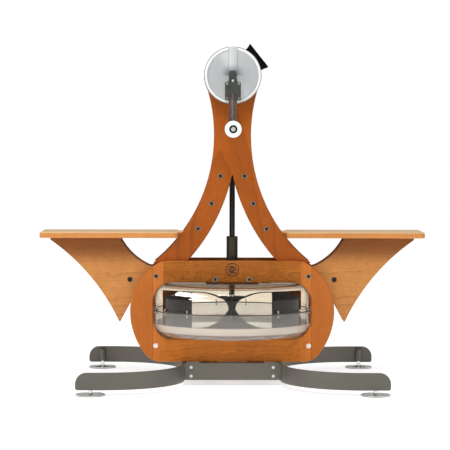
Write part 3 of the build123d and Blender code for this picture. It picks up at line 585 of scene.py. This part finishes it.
def grip_seal(side, word):
    """The black seal ring round a handle's bolt: it fills the grip's recess and has a brim over its edge."""
    name, brim = f"grip_seal_{word}", 0.00405
    profile = [(0.0077, 0.0)] + arc(0.0084, 0.0040, 0.0007, 180, 90, 4) \
        + arc(0.0131, 0.0042, 0.0005, 90, 0, 4) + [(0.0136, brim), (0.0121, brim), (0.0121, 0.0)]
    mesh = lathe(name, profile, facing(side, GRIP_Z, GRIP_END - 0.004))
    piece(name, mesh, RING_BLACK, f"{word}_handle", smooth=True)


def console_figures():
    """A time and two counts, shown on the console's window."""
    outwards = Vector((cos(CONSOLE_TILT), 0, sin(CONSOLE_TILT)))
    upwards = Vector((-sin(CONSOLE_TILT), 0, cos(CONSOLE_TILT)))
    window = Matrix((Vector((0, 1, 0)), upwards, outwards)).transposed().to_4x4()
    window = Matrix.Translation(Vector((0, 0, DRUM_Z)) + outwards * CONSOLE_FACE) @ window
    shapes = digit_outlines("00:00", -0.030, 0.014, 0.020) + digit_outlines("000", -0.050, -0.008, 0.011) \
        + digit_outlines("00", 0.020, -0.008, 0.011)
    mesh = raised("console_figures", shapes, window, MARK_HEIGHT)
    piece("console_figures", mesh, DISPLAY_INK, "frame")


for side, word in ((-1, "front"), (1, "rear")):
    rail_roundel(side, word)
    arm_scale(side, word)
    grip_seal(side, word)
console_figures()


# ---- floor, light and camera ----
def lamp(name, place, target, width, height, watts, tint=(1.0, 1.0, 1.0)):
    data = bpy.data.lights.new(name, "AREA")
    data.shape, data.size, data.size_y, data.energy, data.color = "RECTANGLE", width, height, watts, tint
    made = bpy.data.objects.new(name, data)
    bpy.context.scene.collection.objects.link(made)
    made.location = place
    made.rotation_euler = (Vector(target) - Vector(place)).to_track_quat("-Z", "Y").to_euler()
    return made


def studio_lamps():
    """A soft key from above, two weak fills, and two lamps that only the tank's walls reflect."""
    middle = (0, 0, 0.55)
    lamp("key_high", (-0.7, -3.1, 4.3), (0, 0, 0.5), 1.8, 1.2, 92.0, (1.0, 0.985, 0.96))
    lamp("side_left", (-3.2, -2.2, 1.5), middle, 1.2, 1.6, 20.0)
    lamp("fill_right", (3.0, -3.2, 1.4), middle, 1.4, 1.6, 8.0)
    shells = bpy.data.collections.new("tank_shells")
    for name in ("tank_upper_shell", "tank_lower_shell"):
        shells.objects.link(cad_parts[name])
    tank = (-0.1, -0.15, 0.3)
    glosses = (lamp("tank_softbox", (-2.2, -0.1, 1.75), tank, 4.2, 1.3, 900.0),
               lamp("tank_strip", (-2.6, -2.3, 0.62), tank, 2.2, 0.16, 260.0))
    for gloss in glosses:
        gloss.visible_diffuse = False
        gloss.light_linking.receiver_collection = shells


def studio_floor():
    """White paper that glows a little, just below the feet."""
    mesh, shape = bpy.data.meshes.new("studio_floor"), bmesh.new()
    bmesh.ops.create_grid(shape, x_segments=12, y_segments=12, size=40.0)
    shape.to_mesh(mesh)
    shape.free()
    floor = bpy.data.objects.new("studio_floor", mesh)
    bpy.context.scene.collection.objects.link(floor)
    floor.location.z = -0.0005
    paper = Shader("white_paper", Roughness=0.9, Specular_IOR_Level=0.2, Emission_Color=(1, 1, 1, 1),
                   Emission_Strength=0.64)
    paper.set("Base Color", paper.tone(colour(240, 240, 240), paper.noise(paper.point, 900.0), 0.01))
    mesh.materials.append(paper.material)


def studio_world():
    """A dim cool sky that lights the model, and a white backdrop behind it."""
    world = bpy.data.worlds.new("studio")
    bpy.context.scene.world = world
    world.use_nodes = True
    tree = world.node_tree
    tree.nodes.clear()
    choice, result = tree.nodes.new("ShaderNodeMixShader"), tree.nodes.new("ShaderNodeOutputWorld")
    rays = tree.nodes.new("ShaderNodeLightPath")
    tree.links.new(rays.outputs["Is Camera Ray"], choice.inputs[0])
    for socket, tint, strength in ((choice.inputs[1], (0.97, 0.985, 1.0, 1.0), 0.44),
                                   (choice.inputs[2], (1.0, 1.0, 1.0, 1.0), 1.02)):
        background = tree.nodes.new("ShaderNodeBackground")
        background.inputs["Color"].default_value = tint
        background.inputs["Strength"].default_value = strength
        tree.links.new(background.outputs[0], socket)
    tree.links.new(choice.outputs[0], result.inputs["Surface"])


def light_paths():
    """Enough bounces to see through both walls of the tank, plain display colours and no stray caustics."""
    scene = bpy.context.scene
    scene.view_settings.view_transform = "Standard"
    scene.cycles.max_bounces = 16
    scene.cycles.transmission_bounces = 16
    scene.cycles.transparent_max_bounces = 24
    scene.cycles.sample_clamp_indirect = 6.0
    scene.cycles.caustics_reflective = False
    scene.cycles.caustics_refractive = False


def front_camera():
    """A long lens 7.2 m in front of the machine, a little below the drum and looking slightly down."""
    scene = bpy.context.scene
    view = bpy.data.cameras.new("view")
    view.lens, view.sensor_width = 167.8, 36.0
    view.clip_end = 200.0
    camera = bpy.data.objects.new("view", view)
    scene.collection.objects.link(camera)
    tilt, yaw, roll = radians(90 - 2.756), radians(-0.431), radians(0.12)
    camera.matrix_world = (Matrix.Translation((-0.0786, -7.2, 0.884)) @ Matrix.Rotation(yaw, 4, "Z")
                           @ Matrix.Rotation(tilt, 4, "X") @ Matrix.Rotation(roll, 4, "Z"))
    scene.camera = camera


studio_lamps()
studio_floor()
studio_world()
light_paths()
front_camera()

bpy.context.view_layer.update()
